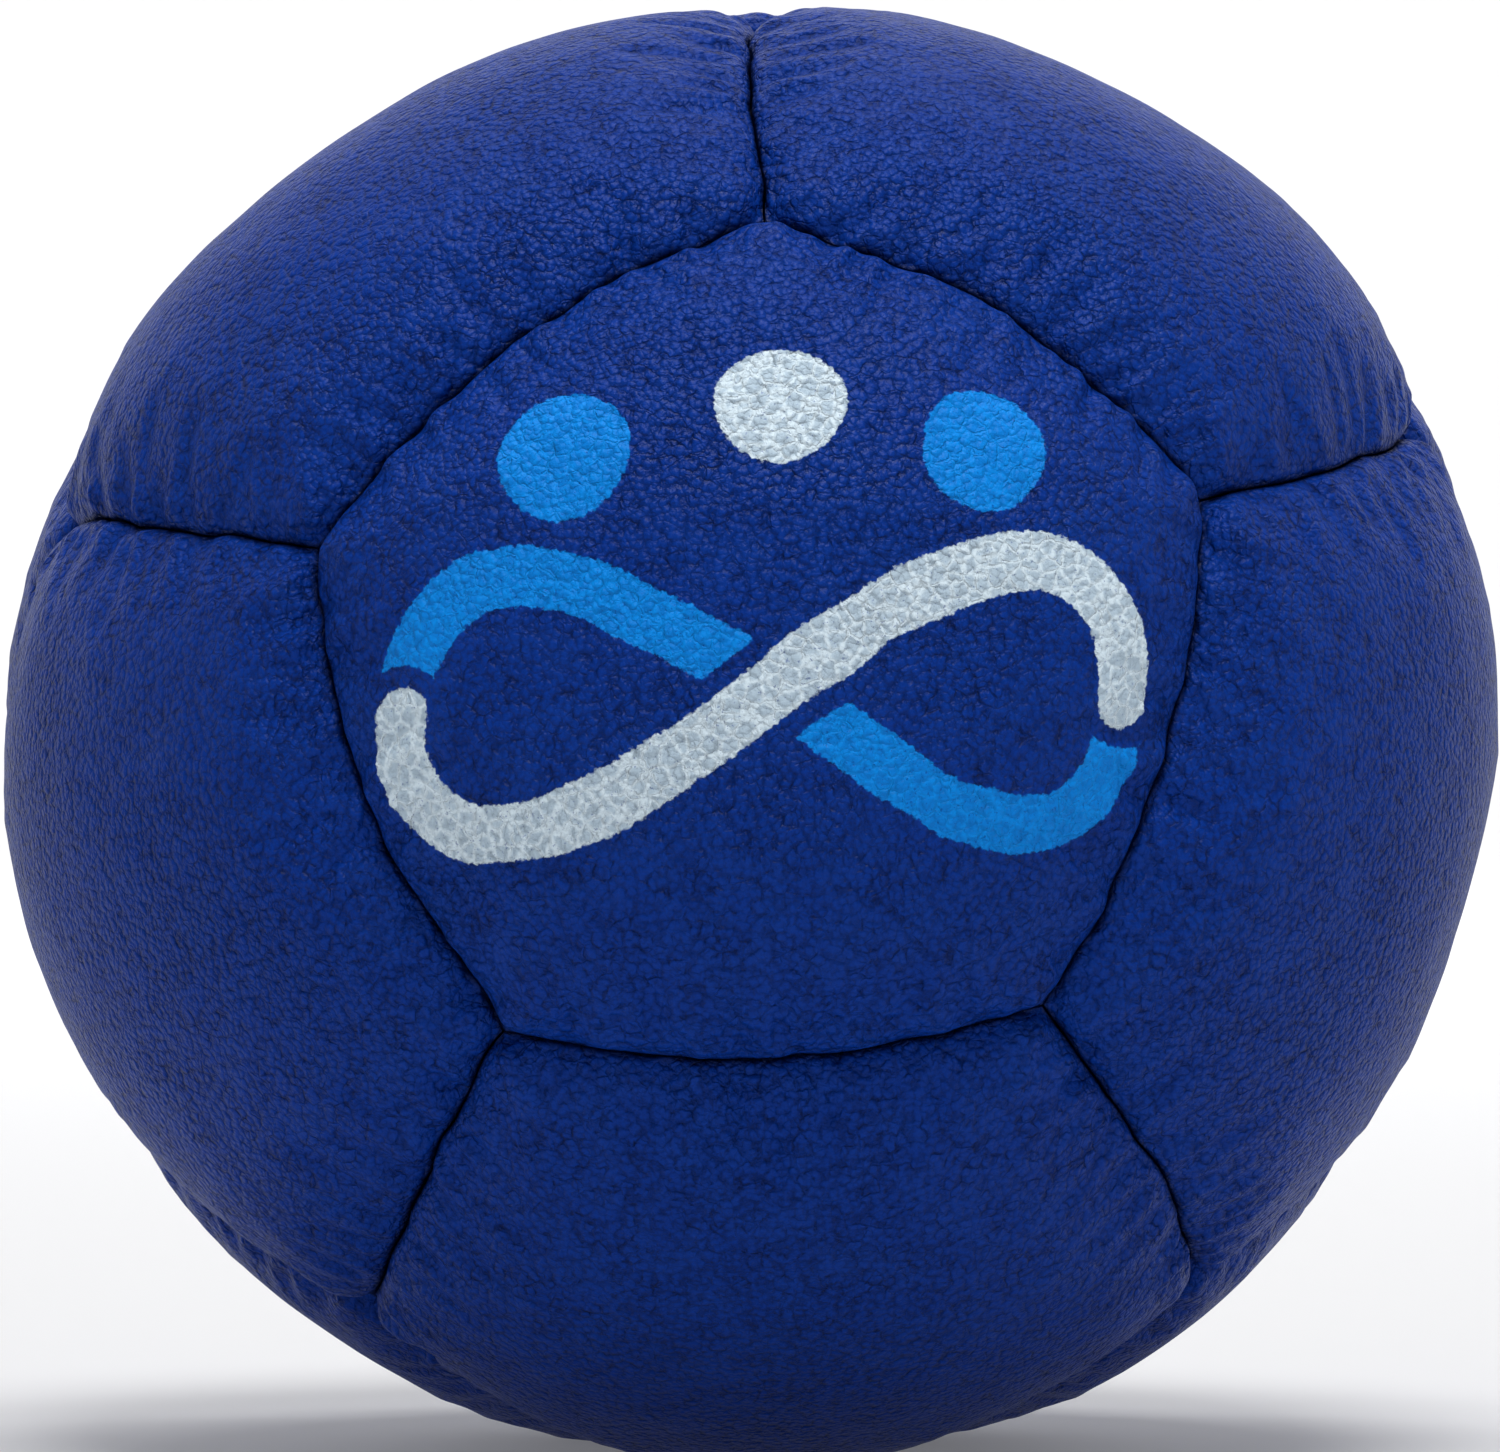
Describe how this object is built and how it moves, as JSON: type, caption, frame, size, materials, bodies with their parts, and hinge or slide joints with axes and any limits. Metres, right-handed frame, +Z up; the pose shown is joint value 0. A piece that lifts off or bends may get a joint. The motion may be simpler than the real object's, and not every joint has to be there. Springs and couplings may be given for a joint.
{
  "type": "juggling ball",
  "caption": "Soft round juggling ball of five-sided leather panels sewn edge to edge over packed pellets, with a flattened underside to rest on.",
  "frame": {"origin": "centre of the ball's bounding box at the flattened underside that it rests on", "axes": "+Z up, the printed front panel faces -Y and looks up by about seven degrees, +X to the right as seen from the front"},
  "size_m": [0.0654, 0.0664, 0.063],
  "materials": {
    "leather": "pebbled synthetic leather, royal blue, soft sheen",
    "printed_leather": null,
    "thread": "dark waxed polyester thread",
    "pellets": "loose plastic pellets, satin"
  },
  "bodies": {
    "root": {"filling": "pellets", "panel_back": "leather", "panel_back_lower_left": "leather", "panel_back_lower_right": "leather", "panel_back_top": "leather", "panel_back_upper_left": "leather", "panel_back_upper_right": "leather", "panel_front": "printed_leather", "panel_front_bottom": "leather", "panel_front_left": "leather", "panel_front_right": "leather", "panel_front_upper_left": "leather", "panel_front_upper_right": "leather", "thread_back_lower_left_to_back": "thread", "thread_back_lower_left_to_back_upper_left": "thread", "thread_back_lower_right_to_back": "thread", "thread_back_lower_right_to_back_lower_left": "thread", "thread_back_top_to_back": "thread", "thread_back_top_to_back_upper_left": "thread", "thread_back_top_to_back_upper_right": "thread", "thread_back_upper_left_to_back": "thread", "thread_back_upper_right_to_back": "thread", "thread_back_upper_right_to_back_lower_right": "thread", "thread_front_bottom_to_back_lower_left": "thread", "thread_front_bottom_to_back_lower_right": "thread", "thread_front_bottom_to_front_left": "thread", "thread_front_left_to_back_lower_left": "thread", "thread_front_left_to_back_upper_left": "thread", "thread_front_left_to_front_upper_left": "thread", "thread_front_right_to_back_lower_right": "thread", "thread_front_right_to_back_upper_right": "thread", "thread_front_right_to_front_bottom": "thread", "thread_front_to_front_bottom": "thread", "thread_front_to_front_left": "thread", "thread_front_to_front_right": "thread", "thread_front_to_front_upper_left": "thread", "thread_front_to_front_upper_right": "thread", "thread_front_upper_left_to_back_top": "thread", "thread_front_upper_left_to_back_upper_left": "thread", "thread_front_upper_right_to_back_top": "thread", "thread_front_upper_right_to_back_upper_right": "thread", "thread_front_upper_right_to_front_right": "thread", "thread_front_upper_right_to_front_upper_left": "thread"}
  },
  "joints": []
}
